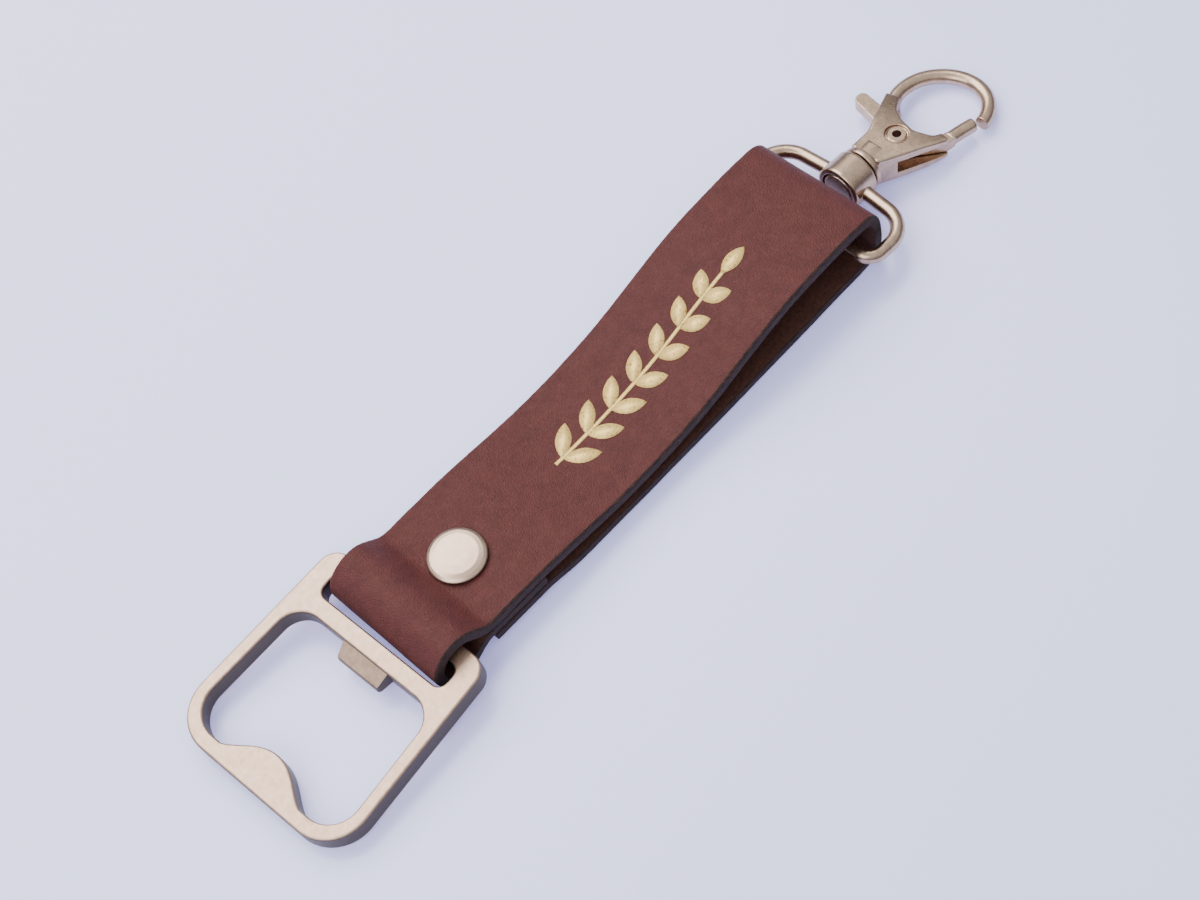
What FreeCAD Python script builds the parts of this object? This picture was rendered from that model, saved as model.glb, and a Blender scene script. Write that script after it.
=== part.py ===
import FreeCAD, Part
import math
import os

from FreeCAD import Vector as V

# ---- driving dimensions (mm) ----
# the middle of the whole object's footprint, put at the origin when saving
ORIGIN = (85.24, -1.0)

# steel opener plate, drawn flat with x = 0 at the bump end and z = 0 on its underside
PLATE_LEN = 37.8
PLATE_T = 4.0
PLATE_HALF_BUMP = 18.9
PLATE_HALF_SLOT = 17.2
PLATE_R_BUMP = 7.6
PLATE_R_SLOT = 3.4
PLATE_EDGE_R = 0.45
OPEN_X0 = 2.7
OPEN_X1 = 27.0
OPEN_HALF0 = 16.6
OPEN_HALF1 = 15.2
OPEN_R0 = 5.4
OPEN_R1 = 4.6
BUMP_TOP = 6.9
BUMP_HALF = 9.2
TOOTH_HALF = 4.4
TOOTH_OUT = 2.7
TOOTH_T = 1.9
TOOTH_DROP = 1.3
SLOT_X0 = 30.2
SLOT_X1 = 34.5
SLOT_HALF = 13.5
END_BAR_X = 36.1
PLATE_TILT = 4.8
PLATE_YAW = 2.0

# leather strap, one strip bent along world X
STRAP_W = 25.0
STRAP_T = 2.0
NEAR_X = 36.5
NEAR_Z = 5.65
NEAR_R = 4.5
RIVET_X = 48.0
FLAT_X0 = 42.6
BOTTOM_END_X = 43.4
FLAT_RUN_X = 67.0
MIDDLE_END_X = 55.0
LOW_Z = 2.03
MID_Z = 4.15
TOP_Z = 6.3
FAR_X = 128.7
FAR_Z = 6.4
FAR_R = 5.4
PUNCH_R = 2.3

# double-cap rivet
CAP_R = 5.0
CAP_H = 1.3
CAP_BACK_H = 1.0
CAP_SHEET = 0.25
CAP_LIP = 1.6
CAP_GAP = 0.03
FLANGE_R = 3.7
FLANGE_T = 0.2
SOCKET_R = 2.0
SOCKET_BORE = 1.7
POST_R = 1.65
POST_BORE = 1.2

# swivel D-ring, drawn with its straight bar on the Y axis and its eye along +X
WIRE_R = 1.25
D_HALF = 14.05
D_CORNER = 2.6
D_SHOULDER = 5.4
EYE_X = 10.5
EYE_R = 4.3
EYE_LEN = 5.4
EYE_BORE = 1.75
HEAD_POCKET_R = 3.3
HEAD_POCKET = 1.5
D_BAR = (129.6, -0.15, 6.2)
D_YAW = 1.0
D_PITCH = 6.7

# swivel stud
STUD_R = 1.7
STUD_HEAD_R = 2.95
STUD_HEAD_T = 1.3
STUD_END = 3.6

# trigger hook, drawn from the neck at x = NECK_X in the D-ring's frame
NECK_X = 13.9
COLLAR_R = 3.9
COLLAR_T = 1.2
NECK_R = 3.35
BODY_HALF_T = 2.9
BODY_EDGE_R = 0.55
SLOT_HALF_T = 1.3
HOOK_R = 1.3
PIVOT_X = 7.7
PIVOT_Y = -1.16
PIVOT_R = 1.2
PIVOT_BORE = 0.8
PIVOT_HEAD_R = 1.75
PIVOT_HEAD_T = 0.45
RECESS_R = 2.05
RECESS_D = 0.5
LEVER_HALF_T = 1.1
GATE_R = 1.25
SPRING_WIRE_R = 0.18
SPRING_COIL_R = 1.68
SPRING_TURNS = 2.5
SPRING_PITCH = 0.42
SPRING_POCKET_R = 2.1


def save(shape, name):
    shape.translate(V(-ORIGIN[0], -ORIGIN[1], 0))
    shape.exportStep("parts/" + name + ".step")


def arc_between(a, mid, b):
    return Part.Arc(a, mid, b).toShape()


def rounded_wire(points, radii, closed=True):
    """Straight runs joined by arcs of the given corner radii."""
    n = len(points)
    edges = []
    starts = []
    ends = []
    arcs = []
    for i in range(n):
        p = points[i]
        if radii[i] <= 0 or (not closed and i in (0, n - 1)):
            starts.append(p)
            ends.append(p)
            arcs.append(None)
            continue
        a = (points[i - 1] - p).normalize()
        b = (points[(i + 1) % n] - p).normalize()
        half = 0.5 * a.getAngle(b)
        cut = radii[i] / math.tan(half)
        t0 = p + a * cut
        t1 = p + b * cut
        bis = (a + b).normalize()
        centre = p + bis * (radii[i] / math.sin(half))
        starts.append(t0)
        ends.append(t1)
        arcs.append(centre - bis * radii[i])
    for i in range(n):
        if arcs[i] is not None:
            edges.append(arc_between(starts[i], arcs[i], ends[i]))
        j = (i + 1) % n
        if j == 0 and not closed:
            break
        if (starts[j] - ends[i]).Length > 1e-6:
            edges.append(Part.makeLine(ends[i], starts[j]))
    return Part.Wire(edges)


def prism(points, radii, z0, z1):
    wire = rounded_wire([V(x, y, z0) for x, y in points], radii)
    return Part.Face(wire).extrude(V(0, 0, z1 - z0))


def tube(wire, radius):
    first = wire.OrderedEdges[0]
    start = first.valueAt(first.FirstParameter)
    along = first.tangentAt(first.FirstParameter)
    if first.Orientation == "Reversed":
        start = first.valueAt(first.LastParameter)
        along = first.tangentAt(first.LastParameter) * -1
    ring = Part.Wire([Part.makeCircle(radius, start, along)])
    pipe = Part.BRepOffsetAPI.MakePipeShell(wire)
    pipe.add(ring)
    pipe.setTransitionMode(2)
    pipe.build()
    pipe.makeSolid()
    return pipe.shape()


def x_cylinder(radius, x0, x1):
    return Part.makeCylinder(radius, x1 - x0, V(x0, 0, 0), V(1, 0, 0))


def place_plate(shape):
    """Lay the plate on its bump-end edge, raised and turned at the end bar."""
    shape.translate(V(-END_BAR_X, 0, 0))
    shape.rotate(V(0, 0, 0), V(0, 1, 0), -PLATE_TILT)
    shape.rotate(V(0, 0, 0), V(0, 0, 1), PLATE_YAW)
    rise = END_BAR_X * math.sin(math.radians(PLATE_TILT))
    shape.translate(V(END_BAR_X, 0, rise))
    return shape


def place_clasp(shape):
    """Swing a part of the clasp down and aside about the D-ring's bar."""
    shape.rotate(V(0, 0, 0), V(0, 1, 0), D_PITCH)
    shape.rotate(V(0, 0, 0), V(0, 0, 1), D_YAW)
    shape.translate(V(*D_BAR))
    return shape


def opening_bump():
    """The rounded fulcrum that stands into the opening from the bump end."""
    crest = []
    for k in range(-8, 9):
        y = (BUMP_HALF + 1.2) * k / 8.0
        lift = 0.5 + 0.5 * math.cos(math.pi * k / 8.0)
        lift = lift * (1.0 + 0.3 * (1.0 - lift))
        crest.append(V(OPEN_X0 - 0.25 + (BUMP_TOP - OPEN_X0 + 0.25) * lift, y, 0))
    curve = Part.BSplineCurve()
    curve.interpolate(crest)
    low0 = V(1.0, crest[0].y, 0)
    low1 = V(1.0, crest[-1].y, 0)
    edges = [Part.makeLine(low0, crest[0]), curve.toShape()]
    edges += [Part.makeLine(crest[-1], low1), Part.makeLine(low1, low0)]
    return Part.Face(Part.Wire(edges)).extrude(V(0, 0, PLATE_T))


def round_plate_edges(plate):
    keep = []
    for edge in plate.Edges:
        box = edge.BoundBox
        flat = box.ZLength < 1e-4
        level = abs(box.ZMin) < 1e-4 or abs(box.ZMin - PLATE_T) < 1e-4
        if flat and level and edge.Length > 0.6:
            keep.append(edge)
    try:
        return plate.makeFillet(PLATE_EDGE_R, keep)
    except Exception:
        return plate


def opener_plate():
    a = PLATE_HALF_BUMP
    b = PLATE_HALF_SLOT
    outline = [(0, -a), (PLATE_LEN, -b), (PLATE_LEN, b), (0, a)]
    plate = prism(outline, [PLATE_R_BUMP, PLATE_R_SLOT, PLATE_R_SLOT, PLATE_R_BUMP], 0, PLATE_T)
    hole = [(OPEN_X0, -OPEN_HALF0), (OPEN_X1, -OPEN_HALF1), (OPEN_X1, OPEN_HALF1), (OPEN_X0, OPEN_HALF0)]
    plate = plate.cut(prism(hole, [OPEN_R0, OPEN_R1, OPEN_R1, OPEN_R0], -1, PLATE_T + 1))
    slot = [(SLOT_X0, -SLOT_HALF), (SLOT_X1, -SLOT_HALF), (SLOT_X1, SLOT_HALF), (SLOT_X0, SLOT_HALF)]
    plate = plate.cut(prism(slot, [1.5, 1.5, 1.5, 1.5], -1, PLATE_T + 1))
    plate = plate.fuse(opening_bump()).removeSplitter()
    plate = round_plate_edges(plate)
    plate = plate.fuse(lifting_tooth()).removeSplitter()
    return place_plate(plate)


def lifting_tooth():
    """The lip that hooks under the cap, stepped down from the cross-bar."""
    z1 = PLATE_T - 0.5
    x0 = OPEN_X1 + 0.8
    x1 = OPEN_X1 - TOOTH_OUT
    side = [
        V(x0, 0, z1 - TOOTH_T),
        V(x0, 0, z1),
        V(OPEN_X1, 0, z1),
        V(x1 + 0.25, 0, z1 - TOOTH_DROP),
        V(x1, 0, z1 - TOOTH_DROP - 0.3),
        V(x1, 0, z1 - TOOTH_DROP - TOOTH_T + 0.2),
        V(x1 + 0.5, 0, z1 - TOOTH_DROP - TOOTH_T),
        V(x0, 0, z1 - TOOTH_DROP - TOOTH_T),
        V(x0, 0, z1 - TOOTH_T),
    ]
    wedge = Part.Face(Part.makePolygon(side)).extrude(V(0, 2 * TOOTH_HALF + 2, 0))
    wedge.translate(V(0, -TOOTH_HALF - 1, 0))
    plan = [(x1 - 0.1, -TOOTH_HALF), (x0, -TOOTH_HALF - 0.6), (x0, TOOTH_HALF + 0.6), (x1 - 0.1, TOOTH_HALF)]
    return wedge.common(prism(plan, [0.7, 0, 0, 0.7], 0, PLATE_T))


def strap_loop_line():
    """Centre of the leather from the middle layer's free end, round the end bar, to the far fold."""
    pts = []
    for x in (MIDDLE_END_X, 52.0, 49.0, 46.0, 43.8):
        pts.append((x, MID_Z))
    ease(pts, FLAT_X0, MID_Z, NEAR_X, NEAR_Z - NEAR_R, 8)
    arc(pts, NEAR_X, NEAR_Z, NEAR_R, 255, 105, 10)
    ease(pts, NEAR_X, NEAR_Z + NEAR_R, FLAT_X0, TOP_Z, 8)
    for x in (43.8, 46.0, 49.0, 52.0, 54.5):
        pts.append((x, TOP_Z))
    ease(pts, 56.0, TOP_Z, 64.5, 5.15, 4)
    pts.append((75.0, 5.0))
    pts.append((85.0, 5.5))
    pts.append((94.0, 6.9))
    pts.append((103.0, 9.3))
    pts.append((112.0, 11.3))
    pts.append((120.0, 11.95))
    arc(pts, FAR_X, FAR_Z, FAR_R, 86, -90, 12)
    return pts


def strap_end_line():
    """Centre of the leather from the flat run on the table up to the bottom layer's free end."""
    pts = []
    for x in (FLAT_RUN_X, 65.4, 64.0):
        pts.append((x, STRAP_T / 2))
    ease(pts, 62.5, STRAP_T / 2, 54.5, LOW_Z, 6)
    for x in (53.0, 50.0, 47.0, BOTTOM_END_X):
        pts.append((x, LOW_Z))
    return pts


def offset_pair(line):
    """Curves half a thickness to each side of a centre line, square to it at both ends."""
    guide = []
    for x, z in line:
        if not guide or (V(x, 0, z) - guide[-1]).Length > 0.25:
            guide.append(V(x, 0, z))
    curve = Part.BSplineCurve()
    curve.interpolate(guide)
    spine = curve.toShape().discretize(Number=4 * len(guide))
    left = []
    right = []
    for k in range(len(spine)):
        tangent = curve.tangent(curve.parameter(spine[k]))[0].normalize()
        if k in (0, len(spine) - 1):
            tangent = V(-1, 0, 0)
        side = V(-tangent.z, 0, tangent.x) * (STRAP_T / 2)
        left.append(spine[k] + side)
        right.append(spine[k] - side)
    outer = Part.BSplineCurve()
    outer.interpolate(left)
    inner = Part.BSplineCurve()
    inner.interpolate(right)
    return outer.toShape(), inner.toShape(), left, right


def ease(pts, x0, z0, x1, z1, steps):
    for k in range(steps + 1):
        t = k / float(steps)
        blend = t * t * (3 - 2 * t)
        pts.append((x0 + (x1 - x0) * t, z0 + (z1 - z0) * blend))


def arc(pts, cx, cz, radius, deg0, deg1, steps):
    for k in range(steps + 1):
        a = math.radians(deg0 + (deg1 - deg0) * k / float(steps))
        pts.append((cx + radius * math.cos(a), cz + radius * math.sin(a)))


def leather_strap():
    out1, in1, left1, right1 = offset_pair(strap_loop_line())
    out2, in2, left2, right2 = offset_pair(strap_end_line())
    edges = [out1, Part.makeLine(left1[-1], left2[0]), out2, Part.makeLine(left2[-1], right2[-1])]
    edges += [in2, Part.makeLine(right2[0], right1[-1]), in1, Part.makeLine(right1[0], left1[0])]
    face = Part.Face(Part.Wire(Part.__sortEdges__(edges)))
    strap = face.extrude(V(0, STRAP_W, 0))
    strap.translate(V(0, -STRAP_W / 2, 0))
    return strap.cut(Part.makeCylinder(PUNCH_R, 12, V(RIVET_X, 0, -1)))


def revolve_profile(points, x, y):
    """Turn a closed (radius, z) profile about a vertical axis."""
    wire = Part.makePolygon([V(r, 0, z) for r, z in points] + [V(points[0][0], 0, points[0][1])])
    solid = Part.Face(wire).revolve(V(0, 0, 0), V(0, 0, 1), 360)
    solid.translate(V(x, y, 0))
    return solid


def cap_shell(height, lip):
    """A shallow pressed cap, open below, with its rim turned in under the flange."""
    r = CAP_R
    s = CAP_SHEET
    outer = [(0.0, height), (r * 0.45, height - 0.05), (r * 0.72, height - 0.16), (r * 0.87, height - 0.36)]
    outer += [(r * 0.96, height - 0.62), (r, height * 0.36), (r - 0.03, 0.12), (r - 0.15, 0.0)]
    lower = [(r - lip, 0.0), (r - lip, s), (r - s - 0.05, s + 0.02), (r - s, height * 0.36)]
    lower += [(r * 0.96 - s, height - 0.7), (r * 0.87 - 0.12, height - 0.36 - s * 0.9)]
    lower += [(r * 0.7, height - 0.16 - s), (r * 0.45, height - 0.05 - s), (0.0, height - s)]
    return outer + lower


def rivet_front_cap():
    top = TOP_Z + STRAP_T / 2
    cap = revolve_profile(cap_shell(CAP_H, CAP_LIP), 0, 0)
    cap.translate(V(RIVET_X, 0, top + CAP_GAP))
    return cap


def rivet_back_cap():
    cap = revolve_profile(cap_shell(CAP_BACK_H, CAP_LIP), 0, 0)
    cap.rotate(V(0, 0, 0), V(1, 0, 0), 180)
    cap.translate(V(RIVET_X, 0, CAP_BACK_H))
    return cap


def rivet_front_socket():
    top = TOP_Z + STRAP_T / 2 + CAP_GAP + CAP_SHEET + FLANGE_T + 0.02
    low = LOW_Z + 0.4
    rr = SOCKET_R
    prof = [(SOCKET_BORE, low), (rr, low), (rr, top - FLANGE_T), (FLANGE_R, top - FLANGE_T)]
    prof += [(FLANGE_R, top), (SOCKET_BORE, top)]
    return revolve_profile(prof, RIVET_X, 0)


def rivet_back_post():
    low = CAP_BACK_H - CAP_SHEET - FLANGE_T - 0.02
    high = TOP_Z + STRAP_T / 2 + 0.1
    prof = [(POST_BORE, low), (FLANGE_R, low), (FLANGE_R, low + FLANGE_T)]
    prof += [(POST_R, low + FLANGE_T), (POST_R, high - 0.4), (POST_R - 0.2, high), (POST_BORE, high)]
    return revolve_profile(prof, RIVET_X, 0)


def swivel_d_ring():
    pts = [
        V(EYE_X, 3.0, 0),
        V(EYE_X - 0.9, D_HALF, 0),
        V(0, D_HALF, 0),
        V(0, -D_HALF, 0),
        V(EYE_X - 0.9, -D_HALF, 0),
        V(EYE_X, -3.0, 0),
    ]
    path = rounded_wire(pts, [0, D_SHOULDER, D_CORNER, D_CORNER, D_SHOULDER, 0], closed=False)
    ring = tube(path, WIRE_R)
    half = EYE_LEN / 2
    eye = x_cylinder(EYE_R, EYE_X - half, EYE_X + half)
    eye = eye.makeFillet(0.5, [e for e in eye.Edges if e.Length > 20 and abs(e.BoundBox.XLength) < 1e-3])
    ring = ring.fuse(eye)
    ring = ring.cut(x_cylinder(EYE_BORE, EYE_X - half - 1, EYE_X + half + 1))
    ring = ring.cut(x_cylinder(HEAD_POCKET_R, EYE_X - half - 1, EYE_X - half + HEAD_POCKET))
    return place_clasp(ring.removeSplitter())


def swivel_stud():
    face = EYE_X - EYE_LEN / 2 + HEAD_POCKET - 0.15
    head = x_cylinder(STUD_HEAD_R, face - STUD_HEAD_T, face)
    head = head.makeFillet(0.35, [e for e in head.Edges if abs(e.BoundBox.XMin - face + STUD_HEAD_T) < 1e-3
                                  and e.BoundBox.XLength < 1e-3])
    stud = head.fuse(x_cylinder(STUD_R, face, NECK_X + STUD_END))
    return place_clasp(stud.removeSplitter())


def hook_points(points, z=0.0):
    """Places measured from the neck, in the D-ring's frame."""
    return [V(NECK_X + x, y, z) for x, y in points]


def hook_wire():
    pts = [(12.2, 3.1), (13.4, 4.5), (15.4, 5.7), (18.3, 6.0), (21.3, 5.2), (24.0, 3.2), (26.0, 0.0), (26.4, -3.4)]
    pts += [(25.3, -6.3), (23.0, -8.3), (20.3, -9.1)]
    curve = Part.BSplineCurve()
    curve.interpolate(hook_points(pts))
    return Part.Wire([curve.toShape()])


def thinning_wedge():
    """The side view of the cheeks: thick at the neck, thin where the hook and the fork leave them."""
    profile = [(0.5, 3.1), (5.0, 3.0), (9.0, BODY_HALF_T - 0.05), (12.5, 2.3), (16.0, 1.3)]
    edges = []
    for sign in (1, -1):
        curve = Part.BSplineCurve()
        curve.interpolate([V(NECK_X + x, -20, sign * z) for x, z in profile])
        edges.append(curve.toShape())
    for x, z in (profile[0], profile[-1]):
        edges.append(Part.makeLine(V(NECK_X + x, -20, -z), V(NECK_X + x, -20, z)))
    return Part.Face(Part.Wire(Part.__sortEdges__(edges))).extrude(V(0, 40, 0))


def hook_cheeks():
    outline = [(1.0, -3.0), (5.4, -5.2), (10.6, -7.6), (12.9, -8.4), (13.3, -6.3), (11.6, -5.7), (10.3, -2.6)]
    outline += [(11.0, 0.4), (12.4, 2.7), (15.2, 4.3), (14.4, 6.9), (9.8, 4.9), (5.2, 3.1), (1.0, 3.0)]
    radii = [0, 3, 3, 0.6, 0.6, 1.5, 2.5, 3, 2, 0, 0, 4, 3, 0]
    wire = rounded_wire(hook_points(outline, -BODY_HALF_T - 1), radii)
    body = Part.Face(wire).extrude(V(0, 0, 2 * BODY_HALF_T + 2)).common(thinning_wedge())
    rims = []
    for edge in body.Edges:
        box = edge.BoundBox
        if box.XMax > NECK_X + 1.2 and box.ZMax * box.ZMin > 0 and box.XLength > 1e-3:
            rims.append(edge)
    return body.makeFillet(BODY_EDGE_R, rims)


def hook_body():
    body = hook_cheeks()
    body = body.fuse(tube(hook_wire(), HOOK_R))
    collar = x_cylinder(COLLAR_R, NECK_X - 0.3, NECK_X - 0.3 + COLLAR_T)
    collar = collar.makeFillet(0.35, [e for e in collar.Edges if e.BoundBox.XLength < 1e-3])
    neck = x_cylinder(NECK_R, NECK_X + 0.5, NECK_X + 3.4)
    body = body.fuse([collar, neck])
    body = body.cut(x_cylinder(STUD_R, NECK_X - 1, NECK_X + STUD_END))
    slot = [(4.1, -10), (15.5, -10), (15.5, 1.6), (12.0, 2.4), (12.0, 11), (4.1, 11)]
    wire = rounded_wire(hook_points(slot, -SLOT_HALF_T), [0.6, 0, 0, 0, 0, 0.6])
    body = body.cut(Part.Face(wire).extrude(V(0, 0, 2 * SLOT_HALF_T)))
    px = NECK_X + PIVOT_X
    body = body.cut(Part.makeCylinder(PIVOT_R, 10, V(px, PIVOT_Y, -5)))
    for z in (BODY_HALF_T - RECESS_D, -BODY_HALF_T - 1):
        body = body.cut(Part.makeCylinder(RECESS_R, RECESS_D + 1, V(px, PIVOT_Y, z)))
    return place_clasp(body.removeSplitter())


def trigger_lever():
    """Thumb tab, pivot boss and gate in one piece."""
    arm = [(5.6, -2.4), (8.4, -4.5), (12.9, -8.1), (14.7, -8.35), (14.5, -6.25), (12.4, -5.9), (10.1, -3.2)]
    arm += [(10.0, 0.2), (11.8, 4.6), (12.3, 8.0), (12.7, 10.3), (10.2, 10.6), (9.7, 8.2), (8.9, 5.0), (5.8, 1.0)]
    radii = [1.6, 1.5, 0.3, 0.3, 0.3, 1.0, 1.5, 1.5, 2.0, 0, 1.1, 1.1, 0, 1.5, 1.5]
    wire = rounded_wire(hook_points(arm, -LEVER_HALF_T), radii)
    lever = Part.Face(wire).extrude(V(0, 0, 2 * LEVER_HALF_T))
    rod = [(13.2, -7.05), (15.4, -7.35), (17.6, -7.75), (19.45, -8.2)]
    curve = Part.BSplineCurve()
    curve.interpolate(hook_points(rod))
    gate = tube(Part.Wire([curve.toShape()]), GATE_R)
    gate = gate.cut(Part.makeBox(2.4, 6, 4, V(NECK_X + 11.9, -10.5, -2)))
    tip = NECK_X + rod[-1][0] - 0.6
    gate = gate.makeFillet(0.45, [e for e in gate.Edges if e.BoundBox.XMin > tip and e.Length > 6])
    lever = lever.fuse(gate)
    px = NECK_X + PIVOT_X
    lever = lever.cut(Part.makeCylinder(PIVOT_R + 0.05, 10, V(px, PIVOT_Y, -5)))
    pocket = Part.makeCylinder(SPRING_POCKET_R, 1.3, V(px, PIVOT_Y, -LEVER_HALF_T - 0.01))
    lever = lever.cut(pocket)
    return place_clasp(lever.removeSplitter())


def trigger_spring():
    pitch = SPRING_PITCH
    height = pitch * SPRING_TURNS
    helix = Part.makeHelix(pitch, height, SPRING_COIL_R)
    ring = Part.Wire([Part.makeCircle(SPRING_WIRE_R, V(SPRING_COIL_R, 0, 0), V(0, 1, 0))])
    coil = Part.Wire(helix).makePipeShell([ring], True, True)
    coil.translate(V(NECK_X + PIVOT_X, PIVOT_Y, -LEVER_HALF_T + SPRING_WIRE_R - 0.1))
    return place_clasp(coil)


def trigger_pivot():
    z1 = BODY_HALF_T - RECESS_D
    head = PIVOT_HEAD_T
    prof = [(PIVOT_BORE, -z1 - head), (PIVOT_HEAD_R - 0.25, -z1 - head), (PIVOT_HEAD_R, -z1 - head + 0.2)]
    prof += [(PIVOT_HEAD_R, -z1), (PIVOT_R, -z1), (PIVOT_R, z1), (PIVOT_HEAD_R, z1)]
    prof += [(PIVOT_HEAD_R, z1 + head - 0.2), (PIVOT_HEAD_R - 0.25, z1 + head), (PIVOT_BORE, z1 + head)]
    return place_clasp(revolve_profile(prof, NECK_X + PIVOT_X, PIVOT_Y))


os.makedirs("parts", exist_ok=True)
save(opener_plate(), "opener_plate")
save(leather_strap(), "leather_strap")
save(rivet_front_cap(), "rivet_front_cap")
save(rivet_front_socket(), "rivet_front_socket")
save(rivet_back_post(), "rivet_back_post")
save(rivet_back_cap(), "rivet_back_cap")
save(swivel_d_ring(), "swivel_d_ring")
save(swivel_stud(), "swivel_stud")
save(hook_body(), "hook_body")
save(trigger_lever(), "trigger_lever")
save(trigger_spring(), "trigger_spring")
save(trigger_pivot(), "trigger_pivot")
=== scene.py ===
import math

import bmesh
import bpy
import numpy as np
from mathutils import Matrix, Vector


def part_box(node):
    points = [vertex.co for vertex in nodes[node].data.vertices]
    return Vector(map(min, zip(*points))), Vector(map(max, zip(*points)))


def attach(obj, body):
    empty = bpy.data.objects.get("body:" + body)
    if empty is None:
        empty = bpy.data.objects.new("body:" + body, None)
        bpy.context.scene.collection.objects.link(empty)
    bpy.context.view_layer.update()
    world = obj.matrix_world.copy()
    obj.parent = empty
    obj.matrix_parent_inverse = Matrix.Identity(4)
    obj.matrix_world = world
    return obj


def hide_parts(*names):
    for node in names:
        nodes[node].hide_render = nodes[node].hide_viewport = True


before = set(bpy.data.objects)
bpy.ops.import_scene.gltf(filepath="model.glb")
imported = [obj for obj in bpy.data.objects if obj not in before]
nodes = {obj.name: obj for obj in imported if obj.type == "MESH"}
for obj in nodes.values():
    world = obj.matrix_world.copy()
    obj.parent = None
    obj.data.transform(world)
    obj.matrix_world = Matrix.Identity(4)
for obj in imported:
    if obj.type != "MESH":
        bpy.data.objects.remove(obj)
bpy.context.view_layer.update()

MM = 0.001

# ---- camera and stage (metres, degrees) ----
CAMERA_PLACE = (-0.11742, -0.19156, 0.37234)
CAMERA_AZIMUTH = -29.9
CAMERA_ELEVATION = 59.25
CAMERA_ROLL = -18.45
CAMERA_LENS = 80.26
FLOOR_SIZE = 1.6
FLOOR_DROP = 0.0001

# ---- leather strap (mm): the CAD strap's bent line, a little softer at the plate ----
STRAP_W = 25.0
STRAP_T = 2.0
NEAR_X = 36.39
NEAR_Z = 5.65
NEAR_R = 4.5
RIVET_X = 48.0
FLAT_X0 = 42.6
TOP_FLAT_X0 = 43.4
BOTTOM_END_X = 43.4
FLAT_RUN_X = 67.0
MIDDLE_END_X = 55.0
LOW_Z = 2.03
MID_Z = 4.15
TOP_Z = 6.3
FAR_X = 128.4
FAR_Z = 6.4
FAR_R = 5.4
FOLD_SQUARE = 0.62
MIDDLE_RUN = (52.0, 49.0, 46.0, 43.8)
TOP_RUN = (47.5, 50.0, 52.5)
TOP_DIP = (54.0, 74.0, 5.05)
TOP_RISE = [(85.0, 5.5), (94.0, 6.9), (103.0, 9.3), (112.0, 11.3), (120.0, 11.95)]
LOW_STEP = (62.5, 54.5)
LOW_RUN = (53.0, 50.0, 47.0)

CAD_NEAR_EDGE = 31.0        # the plate end of the strap in the numbers above
MIN_SPACING = 0.25          # points of the line that are closer than this are dropped
STATION_STEP = 0.42
ACROSS = 44
EDGE_STEPS = 7
GRAIN_EDGE_R = 0.5
FLESH_EDGE_R = 0.3
EDGE_BAND = 0.7             # width of the strip beside each cut edge that wanders
EDGE_ROUGH = 0.11
EDGE_WANDER = 0.10
DENT = 0.035
BOW = 0.8
BOW_FROM_X = 60.0
SKEW_FROM_X = 105.0
SKEW_RUN = 25.0
FOLD_SKEW = 0.5

PUNCH_R = 2.3
PUNCH_SIDES = 48
PUNCH_LENGTH = 30.0
PUNCH_Z = 5.0

# ---- foil ornament (mm along the top layer, mm across) ----
FOIL_X0 = 70.0
FOIL_X1 = 116.0
FOIL_LIFT = 0.02
FOIL_THICK = 0.03
LEAF_PAIRS = 7
LEAF_FIRST = 1.5
LEAF_LEN = 6.4
LEAF_HALF = 1.35
LEAF_TURN = 40.0
LEAF_SHRINK = 0.035
LEAF_STEPS = 10
STEM_HALF = 0.32
STEM_STEPS = 60

# ---- metal tones ----
OPENER_DARK = (0.54, 0.37, 0.255)
OPENER_LIGHT = (0.74, 0.52, 0.39)
# painted shade: dark colour given to the opener plate's upright walls
OPENER_WALL_SHADE = (0.085, 0.065, 0.05)
CLASP_DARK = (0.44, 0.31, 0.21)
CLASP_LIGHT = (0.62, 0.455, 0.33)
RIVET_DARK = (0.58, 0.41, 0.30)
RIVET_LIGHT = (0.68, 0.49, 0.375)
# painted shade: dark colour given to the rivet parts' upright walls
RIVET_WALL_SHADE = (0.12, 0.09, 0.07)
SPRING_DARK = (0.5, 0.5, 0.5)
SPRING_LIGHT = (0.6, 0.6, 0.6)


# ------------------------------------------------------------------ helpers

def smooth_line(points, step):
    """A natural cubic spline through the points, sampled about every step; also its tangents."""
    p = [points[0]]
    for q in points[1:]:
        if math.dist(q, p[-1]) > MIN_SPACING:
            p.append(q)
    p = np.array(p, float)
    t = np.concatenate([[0], np.cumsum(np.linalg.norm(np.diff(p, axis=0), axis=1))])
    n = len(p)
    h = np.diff(t)
    a = np.eye(n)
    b = np.zeros((n, p.shape[1]))
    for i in range(1, n - 1):
        a[i, i - 1] = h[i - 1]
        a[i, i] = 2 * (h[i - 1] + h[i])
        a[i, i + 1] = h[i]
        b[i] = 6 * ((p[i + 1] - p[i]) / h[i] - (p[i] - p[i - 1]) / h[i - 1])
    m = np.linalg.solve(a, b)
    s = np.linspace(0, t[-1], int(t[-1] / step) + 1)
    k = np.clip(np.searchsorted(t, s, side="right") - 1, 0, n - 2)
    u = (s - t[k])[:, None]
    v = (t[k + 1] - s)[:, None]
    hk = h[k][:, None]
    place = (m[k] * v**3 + m[k + 1] * u**3) / (6 * hk)
    place += (p[k] / hk - m[k] * hk / 6) * v + (p[k + 1] / hk - m[k + 1] * hk / 6) * u
    slope = (m[k + 1] * u**2 - m[k] * v**2) / (2 * hk) + (p[k + 1] - p[k]) / hk
    slope -= (m[k + 1] - m[k]) * hk / 6
    slope /= np.linalg.norm(slope, axis=1)[:, None]
    return s, place, slope


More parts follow.
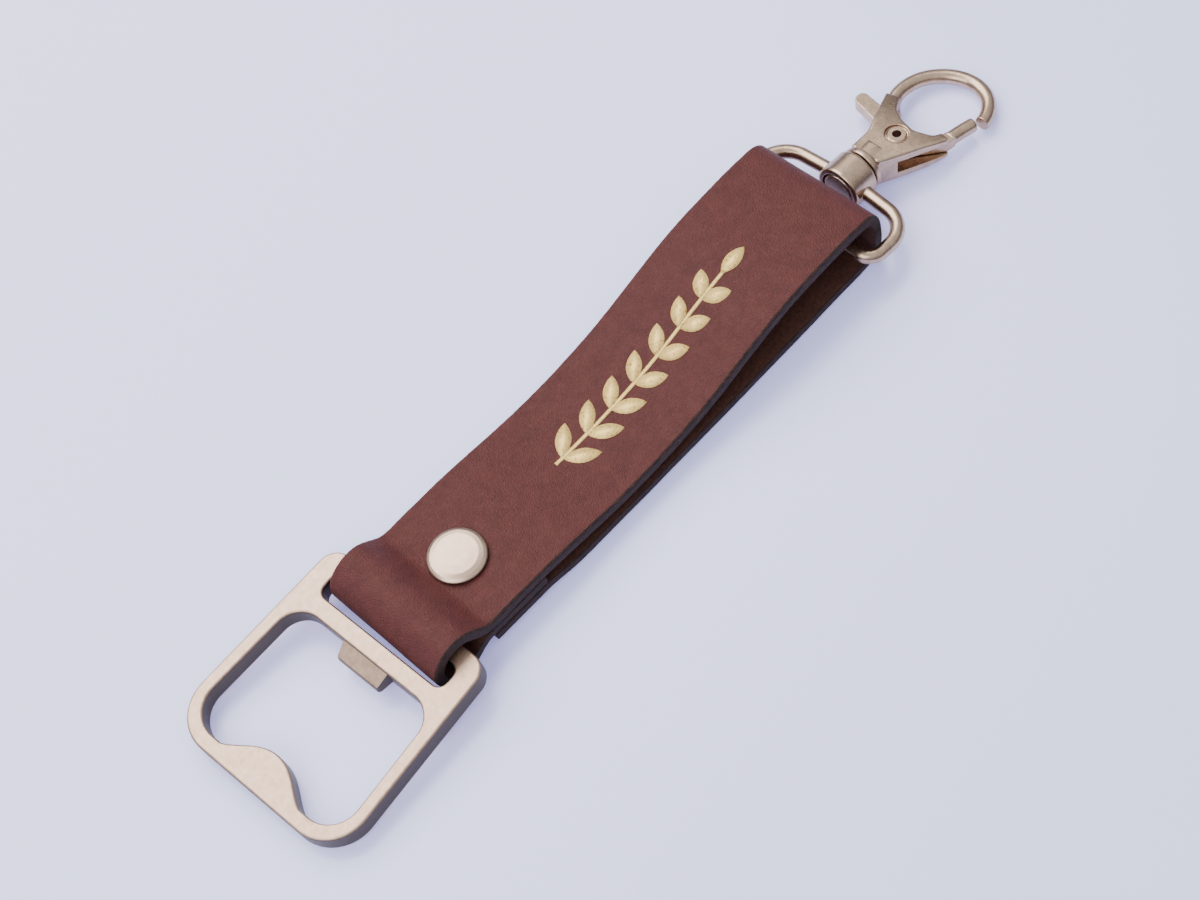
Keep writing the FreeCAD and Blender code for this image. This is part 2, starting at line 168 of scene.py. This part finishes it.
def noise(u, v, seed):
    """Smooth random values between -1 and 1 over a plane."""
    table = np.random.default_rng(seed).uniform(-1, 1, (256, 256))
    iu = np.floor(u).astype(int)
    iv = np.floor(v).astype(int)
    fu = u - iu
    fv = v - iv
    fu = fu * fu * (3 - 2 * fu)
    fv = fv * fv * (3 - 2 * fv)
    a = table[iu % 256, iv % 256]
    b = table[(iu + 1) % 256, iv % 256]
    c = table[iu % 256, (iv + 1) % 256]
    d = table[(iu + 1) % 256, (iv + 1) % 256]
    return (a * (1 - fu) + b * fu) * (1 - fv) + (c * (1 - fu) + d * fu) * fv


def new_piece(name, verts, faces, materials, body):
    mesh = bpy.data.meshes.new(name)
    mesh.from_pydata([tuple(v) for v in verts], [], faces)
    for material in materials:
        mesh.materials.append(material)
    mesh.polygons.foreach_set("use_smooth", [True] * len(mesh.polygons))
    mesh.update()
    piece = bpy.data.objects.new(name, mesh)
    bpy.context.scene.collection.objects.link(piece)
    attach(piece, body)
    return piece


def apply_modifiers(piece):
    graph = bpy.context.evaluated_depsgraph_get()
    done = bpy.data.meshes.new_from_object(piece.evaluated_get(graph))
    piece.modifiers.clear()
    piece.data = done


def softened(node, body, material, voxel, rounds):
    """A CAD node's shape with its edges and joins melted together, as a casting has them."""
    mesh = nodes[node].data.copy()
    mesh.transform(Matrix.Scale(1 / MM, 4))
    piece = bpy.data.objects.new(node + "_cast", mesh)
    bpy.context.scene.collection.objects.link(piece)
    remesh = piece.modifiers.new("remesh", "REMESH")
    remesh.mode = "VOXEL"
    remesh.voxel_size = voxel
    smooth = piece.modifiers.new("smooth", "SMOOTH")
    smooth.factor = 0.5
    smooth.iterations = rounds
    apply_modifiers(piece)
    piece.data.transform(Matrix.Scale(MM, 4))
    piece.data.materials.clear()
    piece.data.materials.append(material)
    piece.data.polygons.foreach_set("use_smooth", [True] * len(piece.data.polygons))
    piece.data.update()
    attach(piece, body)
    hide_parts(node)


# ---------------------------------------------------------------- materials

class Nodes:
    """A material's node tree with short calls for the nodes it needs."""

    def __init__(self, name):
        self.material = bpy.data.materials.new(name)
        self.material.use_nodes = True
        self.tree = self.material.node_tree
        self.shader = self.tree.nodes["Principled BSDF"]
        coords = self.tree.nodes.new("ShaderNodeTexCoord")
        self.place = coords.outputs["Object"]
        self.normal = coords.outputs["Normal"]

    def link(self, out, socket):
        self.tree.links.new(out, socket)

    def grain(self, scale, detail, roughness=0.5, stretch=None):
        node = self.tree.nodes.new("ShaderNodeTexNoise")
        node.inputs["Scale"].default_value = scale
        node.inputs["Detail"].default_value = detail
        node.inputs["Roughness"].default_value = roughness
        place = self.place
        if stretch:
            mapping = self.tree.nodes.new("ShaderNodeMapping")
            mapping.inputs["Scale"].default_value = stretch
            self.link(self.place, mapping.inputs["Vector"])
            place = mapping.outputs["Vector"]
        self.link(place, node.inputs["Vector"])
        return node.outputs["Fac"]

    def cells(self, scale):
        node = self.tree.nodes.new("ShaderNodeTexVoronoi")
        node.feature = "DISTANCE_TO_EDGE"
        node.inputs["Scale"].default_value = scale
        self.link(self.place, node.inputs["Vector"])
        return node.outputs["Distance"]

    def ramp(self, fac, stops):
        node = self.tree.nodes.new("ShaderNodeValToRGB")
        items = node.color_ramp.elements
        while len(items) < len(stops):
            items.new(0.5)
        for item, (at, colour) in zip(items, stops):
            item.position = at
            item.color = (*colour, 1)
        self.link(fac, node.inputs["Fac"])
        return node.outputs["Color"]

    def level(self, fac, low, high, to_low, to_high):
        node = self.tree.nodes.new("ShaderNodeMapRange")
        node.inputs["From Min"].default_value = low
        node.inputs["From Max"].default_value = high
        node.inputs["To Min"].default_value = to_low
        node.inputs["To Max"].default_value = to_high
        self.link(fac, node.inputs["Value"])
        return node.outputs["Result"]

    def upward(self):
        """How far the surface faces up or down, from 0 on a wall to 1 on a flat."""
        split = self.tree.nodes.new("ShaderNodeSeparateXYZ")
        size = self.tree.nodes.new("ShaderNodeMath")
        size.operation = "ABSOLUTE"
        self.link(self.normal, split.inputs["Vector"])
        self.link(split.outputs["Z"], size.inputs[0])
        return size.outputs["Value"]

    def mix(self, fac, colour, other):
        node = self.tree.nodes.new("ShaderNodeMix")
        node.data_type = "RGBA"
        node.inputs["A"].default_value = (*colour, 1)
        self.link(fac, node.inputs["Factor"])
        self.link(other, node.inputs["B"])
        return node.outputs["Result"]

    def bump(self, height, strength, distance, after=None):
        node = self.tree.nodes.new("ShaderNodeBump")
        node.inputs["Strength"].default_value = strength
        node.inputs["Distance"].default_value = distance
        self.link(height, node.inputs["Height"])
        if after:
            self.link(after, node.inputs["Normal"])
        return node.outputs["Normal"]


def satin_metal(name, dark, light, rough, grit, wall=None):
    """Tumbled nickel: fine grit, slight cloudiness, and, where a wall colour is given, painted shade
    darkening the upright walls.
    """
    m = Nodes(name)
    cloud = m.grain(800, 7, 0.62)
    tone = m.ramp(cloud, [(0.3, dark), (0.7, light)])
    if wall:
        # painted shade: faces that stand upright take the dark wall colour in place of the metal's tone
        tone = m.mix(m.level(m.upward(), 0.25, 0.85, 0.0, 1.0), wall, tone)
    m.link(tone, m.shader.inputs["Base Color"])
    m.shader.inputs["Metallic"].default_value = 1.0
    fine = m.grain(9000, 3, 0.65)
    m.link(m.level(fine, 0.25, 0.75, rough - 0.07, rough + 0.09), m.shader.inputs["Roughness"])
    m.link(m.bump(fine, grit, 0.00002), m.shader.inputs["Normal"])
    return m.material


def leather_grain_side():
    m = Nodes("leather_grain")
    cloud = m.grain(400, 7, 0.6)
    tone = m.ramp(cloud, [(0.25, (0.070, 0.0140, 0.0120)), (0.75, (0.104, 0.0225, 0.0190))])
    m.link(tone, m.shader.inputs["Base Color"])
    pores = m.cells(2300)
    fine = m.grain(2600, 5, 0.6)
    m.link(m.level(fine, 0.3, 0.7, 0.52, 0.66), m.shader.inputs["Roughness"])
    m.shader.inputs["Specular IOR Level"].default_value = 0.30
    m.shader.inputs["Sheen Weight"].default_value = 0.06
    m.shader.inputs["Sheen Roughness"].default_value = 0.4
    m.shader.inputs["Sheen Tint"].default_value = (0.85, 0.75, 1.0, 1)
    first = m.bump(pores, 0.6, 0.0003)
    m.link(m.bump(fine, 0.45, 0.00014, first), m.shader.inputs["Normal"])
    return m.material


def leather_cut_edge():
    m = Nodes("leather_cut_edge")
    fibre = m.grain(2200, 6, 0.7, stretch=(0.35, 1, 1.6))
    stops = [(0.35, (0.006, 0.003, 0.003)), (0.55, (0.034, 0.012, 0.009)), (0.8, (0.11, 0.036, 0.022))]
    tone = m.ramp(fibre, stops)
    m.link(tone, m.shader.inputs["Base Color"])
    m.shader.inputs["Roughness"].default_value = 0.85
    m.link(m.bump(fibre, 0.9, 0.00025), m.shader.inputs["Normal"])
    return m.material


def leather_flesh_side():
    m = Nodes("leather_flesh")
    nap = m.grain(1700, 6, 0.65)
    tone = m.ramp(nap, [(0.3, (0.045, 0.014, 0.009)), (0.75, (0.115, 0.040, 0.024))])
    m.link(tone, m.shader.inputs["Base Color"])
    m.shader.inputs["Roughness"].default_value = 0.9
    m.link(m.bump(nap, 0.6, 0.00015), m.shader.inputs["Normal"])
    return m.material


def gold_foil():
    m = Nodes("gold_foil")
    wear = m.grain(2400, 5, 0.6)
    tone = m.ramp(wear, [(0.34, (0.62, 0.33, 0.08)), (0.47, (1.0, 0.70, 0.23))])
    m.link(tone, m.shader.inputs["Base Color"])
    m.shader.inputs["Metallic"].default_value = 0.35
    m.shader.inputs["Roughness"].default_value = 0.45
    m.link(m.bump(wear, 0.35, 0.00004), m.shader.inputs["Normal"])
    return m.material


def pale_gloss():
    """The table: a pale glossy blue-grey that glows faintly, as a lit backdrop does."""
    m = Nodes("pale_table")
    m.shader.inputs["Base Color"].default_value = (0.735, 0.765, 1.0, 1)
    m.shader.inputs["Emission Color"].default_value = (0.42, 0.42, 1.0, 1)
    m.shader.inputs["Emission Strength"].default_value = 0.6
    m.shader.inputs["Roughness"].default_value = 0.22
    return m.material


# ------------------------------------------------------------ leather strap

def ease(points, x0, z0, x1, z1, steps):
    """A smooth step from one height to another."""
    for k in range(steps + 1):
        t = k / steps
        points.append((x0 + (x1 - x0) * t, z0 + (z1 - z0) * t * t * (3 - 2 * t)))


def arc(points, cx, cz, radius, deg0, deg1, steps, power=1.0):
    """Part of a circle, or of a squarer loop where the power is below 1."""
    for k in range(steps + 1):
        a = math.radians(deg0 + (deg1 - deg0) * k / steps)
        c = math.copysign(abs(math.cos(a)) ** power, math.cos(a))
        s = math.copysign(abs(math.sin(a)) ** power, math.sin(a))
        points.append((cx + radius * c, cz + radius * s))


def strap_points():
    """The strip's centre line: middle end, round the end bar, along the top, round the fold, lower end."""
    flat = STRAP_T / 2
    pts = [(x, MID_Z) for x in (MIDDLE_END_X, *MIDDLE_RUN)]
    ease(pts, FLAT_X0, MID_Z, NEAR_X, NEAR_Z - NEAR_R, 8)
    arc(pts, NEAR_X, NEAR_Z, NEAR_R, 255, 105, 16)
    ease(pts, NEAR_X + 0.4, NEAR_Z + NEAR_R, TOP_FLAT_X0, TOP_Z, 6)
    pts += [(x, TOP_Z) for x in TOP_RUN]
    ease(pts, TOP_DIP[0], TOP_Z, TOP_DIP[1], TOP_DIP[2], 5)
    pts += TOP_RISE
    arc(pts, FAR_X, FAR_Z, FAR_R, 84, -84, 16, FOLD_SQUARE)
    for x in np.arange(FAR_X - 4, FLAT_RUN_X, -6.0):
        pts.append((float(x), flat))
    pts += [(x, flat) for x in (FLAT_RUN_X, 65.4, 64.0)]
    ease(pts, LOW_STEP[0], flat, LOW_STEP[1], LOW_Z, 6)
    pts += [(x, LOW_Z) for x in (*LOW_RUN, BOTTOM_END_X)]
    return pts


strap_lo, strap_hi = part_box("leather_strap")
SHIFT_X = strap_lo.x / MM - CAD_NEAR_EDGE
SHIFT_Y = (strap_lo.y + strap_hi.y) / 2 / MM


def lay_strap(x, y, z):
    """Row-frame metres of a strap point: the strip bows a little sideways and folds a little askew."""
    far = np.clip((x - BOW_FROM_X) / (FAR_X - BOW_FROM_X), 0, None)
    side = BOW * np.clip(far, 0, 1.1) ** 2
    fold = np.clip((x - SKEW_FROM_X) / SKEW_RUN, 0, 1) ** 2
    skew = FOLD_SKEW * fold * (1 - y / (STRAP_W / 2))
    return np.stack([x + skew + SHIFT_X, y + side + SHIFT_Y, z], axis=-1) * MM


def strap_section():
    """One cross-section as (across, out) points, and for each side of it the kind of surface there."""
    half = STRAP_W / 2
    t = STRAP_T / 2
    wall = STRAP_T - GRAIN_EDGE_R - FLESH_EDGE_R
    pts = []
    kinds = []

    def corner(v, w, radius, deg0, steps, kind):
        for k in range(steps + 1):
            a = math.radians(deg0 - 90.0 * k / steps)
            pts.append((v + radius * math.cos(a), w + radius * math.sin(a)))
            kinds.append(kind)

    for k in range(ACROSS):
        pts.append((-half + GRAIN_EDGE_R + (STRAP_W - 2 * GRAIN_EDGE_R) * k / ACROSS, t))
        kinds.append(0)
    corner(half - GRAIN_EDGE_R, t - GRAIN_EDGE_R, GRAIN_EDGE_R, 90, 5, 0)
    for k in range(1, EDGE_STEPS):
        pts.append((half, (t - GRAIN_EDGE_R) - wall * k / EDGE_STEPS))
        kinds.append(1)
    corner(half - FLESH_EDGE_R, -t + FLESH_EDGE_R, FLESH_EDGE_R, 0, 3, 1)
    for k in range(1, ACROSS):
        pts.append((half - FLESH_EDGE_R - (STRAP_W - 2 * FLESH_EDGE_R) * k / ACROSS, -t))
        kinds.append(2)
    corner(-half + FLESH_EDGE_R, -t + FLESH_EDGE_R, FLESH_EDGE_R, -90, 3, 1)
    for k in range(1, EDGE_STEPS):
        pts.append((-half, (-t + FLESH_EDGE_R) + wall * k / EDGE_STEPS))
        kinds.append(1)
    corner(-half + GRAIN_EDGE_R, t - GRAIN_EDGE_R, GRAIN_EDGE_R, 180, 5, 1)
    return np.array(pts), kinds


def worn(along, v, w):
    """The section's points with ragged cut edges and a slightly uneven grain side."""
    edge = np.clip((np.abs(v) - (STRAP_W / 2 - EDGE_BAND)) / EDGE_BAND, 0, 1)
    side = np.sign(v)
    coarse = noise(along * 1.9 + 40 * side, w * 2.3 + 9, 3)
    fine = noise(along * 4.7, w * 5.1 + 31 * side, 4)
    ragged = 0.5 * coarse + 0.5 * fine
    drift = EDGE_WANDER * noise(along * 0.12 + 20 * side, 0 * w + 3, 5)
    v = v - side * edge * (EDGE_ROUGH * (0.55 + 0.45 * ragged) + 0.5 * np.abs(drift))
    soft = DENT * noise(along * 0.25, v * 0.22 + 7, 6)
    grain_side = np.where(w > 0, 1, 0)
    return v, w + soft * grain_side - DENT * grain_side


def swept_faces(stations, kinds):
    """Quads between the stations and a cap at each end, with the kind of surface of each face."""
    n = len(kinds)
    faces = []
    kind = []
    for i in range(stations - 1):
        for j in range(n):
            k = (j + 1) % n
            faces.append((i * n + j, i * n + k, (i + 1) * n + k, (i + 1) * n + j))
            kind.append(kinds[j])
    faces.append(tuple(range(n - 1, -1, -1)))
    faces.append(tuple((stations - 1) * n + j for j in range(n)))
    return faces, kind + [1, 1]


def leather_strap(materials):
    s, line, slope = smooth_line(strap_points(), STATION_STEP)
    section, kinds = strap_section()
    out = np.stack([-slope[:, 1], slope[:, 0]], axis=1)
    v = np.tile(section[:, 0], (len(s), 1))
    w = np.tile(section[:, 1], (len(s), 1))
    along = np.tile(s[:, None], (1, len(section)))
    v, w = worn(along, v, w)
    x = line[:, 0][:, None] + out[:, 0][:, None] * w
    z = line[:, 1][:, None] + out[:, 1][:, None] * w
    verts = lay_strap(x, v, z).reshape(-1, 3)
    faces, kind = swept_faces(len(s), kinds)
    piece = new_piece("leather_strap_bent", verts, faces, materials, "strap")
    piece.data.polygons.foreach_set("material_index", kind)
    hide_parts("leather_strap")
    return piece


def punch_rivet_hole(strap):
    """The rivet's hole through the three layers."""
    cutter_mesh = bpy.data.meshes.new("punch")
    shape = bmesh.new()
    size = {"radius1": PUNCH_R * MM, "radius2": PUNCH_R * MM, "depth": PUNCH_LENGTH * MM}
    bmesh.ops.create_cone(shape, cap_ends=True, segments=PUNCH_SIDES, **size)
    shape.to_mesh(cutter_mesh)
    shape.free()
    cutter = bpy.data.objects.new("punch", cutter_mesh)
    cutter.location = ((RIVET_X + SHIFT_X) * MM, SHIFT_Y * MM, PUNCH_Z * MM)
    bpy.context.scene.collection.objects.link(cutter)
    cut = strap.modifiers.new("punch", "BOOLEAN")
    cut.operation = "DIFFERENCE"
    cut.object = cutter
    cut.solver = "EXACT"
    cut.use_self = True
    apply_modifiers(strap)
    bpy.data.objects.remove(cutter)


# ----------------------------------------------------------- foil ornament

def leaf_outline(length, half, turn, at, side):
    """A pointed leaf standing off the stem, as a ring of (along, across) points."""
    ring = []
    for k in range(2 * LEAF_STEPS):
        t = k / LEAF_STEPS if k < LEAF_STEPS else 2 - k / LEAF_STEPS
        sign = 1 if k < LEAF_STEPS else -1
        ring.append((length * t, sign * half * math.sin(math.pi * t) ** 0.8))
    c = math.cos(math.radians(turn))
    s = math.sin(math.radians(turn))
    return [(at + a * c - b * s, side * (STEM_HALF * 0.4 + a * s + b * c)) for a, b in ring]


def foil_shapes():
    """Seven pairs of leaves, one leaf at the tip, and the stem."""
    shapes = []
    step = (FOIL_X1 - FOIL_X0 - LEAF_LEN) / LEAF_PAIRS
    for k in range(LEAF_PAIRS):
        at = FOIL_X0 + LEAF_FIRST + step * k
        size = LEAF_LEN * (1.0 - LEAF_SHRINK * k)
        for side in (1, -1):
            shapes.append(leaf_outline(size, LEAF_HALF, LEAF_TURN, at, side))
    end = FOIL_X0 + LEAF_FIRST + step * LEAF_PAIRS
    shapes.append(leaf_outline(LEAF_LEN * 0.9, LEAF_HALF, 0.0, end - 0.5, 1))
    run = [FOIL_X0 + (end - FOIL_X0) * k / STEM_STEPS for k in range(STEM_STEPS + 1)]
    stem = [(x, STEM_HALF) for x in run]
    stem += [(x, -STEM_HALF) for x in reversed(run)]
    shapes.append(stem)
    return shapes


def foil_ornament(material):
    """A branch of leaves in foil on the top layer, standing in for the printed words."""
    _, line, slope = smooth_line(strap_points(), STATION_STEP)
    top = (line[:, 1] > 4.6) & (slope[:, 0] > 0.5) & (line[:, 0] > FLAT_X0)
    x_top = line[top, 0] - slope[top, 1] * (STRAP_T / 2 + FOIL_LIFT)
    z_top = line[top, 1] + slope[top, 0] * (STRAP_T / 2 + FOIL_LIFT)
    work = bmesh.new()
    for ring in foil_shapes():
        work.faces.new([work.verts.new((a, b, 0)) for a, b in ring])
    bmesh.ops.triangulate(work, faces=work.faces[:])
    work.normal_update()
    verts = []
    for vert in work.verts:
        a = vert.co.x
        verts.append(lay_strap(np.array(a), np.array(vert.co.y), np.interp(a, x_top, z_top)))
    faces = []
    work.verts.index_update()
    for face in work.faces:
        ids = [v.index for v in face.verts]
        faces.append(tuple(ids if face.normal.z > 0 else ids[::-1]))
    work.free()
    piece = new_piece("foil_branch", verts, faces, [material], "strap")
    thick = piece.modifiers.new("thick", "SOLIDIFY")
    thick.thickness = FOIL_THICK * MM
    thick.offset = 0
    apply_modifiers(piece)


# --------------------------------------------------------------- the object

opener_metal = satin_metal("opener_nickel", OPENER_DARK, OPENER_LIGHT, 0.42, 0.45, OPENER_WALL_SHADE)
clasp_metal = satin_metal("clasp_nickel", CLASP_DARK, CLASP_LIGHT, 0.27, 0.18)
rivet_metal = satin_metal("rivet_nickel", RIVET_DARK, RIVET_LIGHT, 0.34, 0.18, RIVET_WALL_SHADE)
spring_metal = satin_metal("spring_steel", SPRING_DARK, SPRING_LIGHT, 0.3, 0.1)

strap = leather_strap([leather_grain_side(), leather_cut_edge(), leather_flesh_side()])
punch_rivet_hole(strap)
foil_ornament(gold_foil())

# node: body, slot, material, voxel size in mm, smoothing rounds
CAST = {
    "swivel_d_ring": ("ring", "clasp_metal", clasp_metal, 0.11, 4),
    "hook_body": ("clasp", "clasp_metal", clasp_metal, 0.09, 5),
    "trigger_lever": ("trigger", "clasp_metal", clasp_metal, 0.08, 3),
    "rivet_front_cap": ("strap", "rivet_metal", rivet_metal, 0.07, 5),
    "rivet_back_cap": ("strap", "rivet_metal", rivet_metal, 0.07, 5),
}
for node, (body, slot, material, voxel, rounds) in CAST.items():
    softened(node, body, material, voxel, rounds)

PLAIN = {
    "opener_plate": opener_metal,
    "rivet_front_socket": rivet_metal,
    "rivet_back_post": rivet_metal,
    "swivel_stud": clasp_metal,
    "trigger_pivot": clasp_metal,
    "trigger_spring": spring_metal,
}
for node, material in PLAIN.items():
    nodes[node].data.materials.clear()
    nodes[node].data.materials.append(material)


# ------------------------------------------------------------ stage, camera

def add_floor():
    mesh = bpy.data.meshes.new("table")
    half = FLOOR_SIZE / 2
    corners = [(-half, -half, 0), (half, -half, 0), (half, half, 0), (-half, half, 0)]
    mesh.from_pydata(corners, [], [(0, 1, 2, 3)])
    mesh.materials.append(pale_gloss())
    floor = bpy.data.objects.new("table", mesh)
    bpy.context.scene.collection.objects.link(floor)
    floor.location.z = -FLOOR_DROP


def add_light(name, place, size, power, colour):
    """A soft panel that faces the middle of the object."""
    data = bpy.data.lights.new(name, "AREA")
    data.shape = "RECTANGLE"
    data.size, data.size_y = size
    data.energy = power
    data.color = colour
    light = bpy.data.objects.new(name, data)
    light.location = place
    light.rotation_euler = (-Vector(place)).to_track_quat("-Z", "Y").to_euler()
    bpy.context.scene.collection.objects.link(light)


def add_world():
    """A pale room that is bright overhead and darker near the horizon."""
    world = bpy.data.worlds.new("studio")
    world.use_nodes = True
    tree = world.node_tree
    back = tree.nodes["Background"]
    coords = tree.nodes.new("ShaderNodeTexCoord")
    split = tree.nodes.new("ShaderNodeSeparateXYZ")
    ramp = tree.nodes.new("ShaderNodeValToRGB")
    ramp.color_ramp.elements[0].position = 0.10
    ramp.color_ramp.elements[0].color = (0.04, 0.038, 0.042, 1)
    ramp.color_ramp.elements[1].position = 0.75
    ramp.color_ramp.elements[1].color = (0.95, 0.95, 1.0, 1)
    tree.links.new(coords.outputs["Generated"], split.inputs["Vector"])
    tree.links.new(split.outputs["Z"], ramp.inputs["Fac"])
    tree.links.new(ramp.outputs["Color"], back.inputs["Color"])
    back.inputs["Strength"].default_value = 1.0
    bpy.context.scene.world = world


def add_camera():
    data = bpy.data.cameras.new("camera")
    data.sensor_width = 36.0
    data.lens = CAMERA_LENS
    data.clip_start = 0.01
    a = math.radians(CAMERA_AZIMUTH)
    e = math.radians(CAMERA_ELEVATION)
    r = math.radians(CAMERA_ROLL)
    back = Vector((math.sin(a) * math.cos(e), -math.cos(a) * math.cos(e), math.sin(e)))
    level = Vector((math.cos(a), math.sin(a), 0))
    rise = back.cross(level)
    right = level * math.cos(r) + rise * math.sin(r)
    up = back.cross(right)
    turn = Matrix((right, up, back)).transposed().to_4x4()
    camera = bpy.data.objects.new("camera", data)
    camera.matrix_world = Matrix.Translation(CAMERA_PLACE) @ turn
    bpy.context.scene.collection.objects.link(camera)
    bpy.context.scene.camera = camera


add_floor()
add_light("key", (0.02, 0.46, 0.62), (0.9, 0.6), 8.0, (1.0, 0.99, 0.97))
add_light("fill", (-0.60, -0.10, 0.60), (0.6, 0.6), 3.5, (0.93, 0.95, 1.0))
add_world()
add_camera()
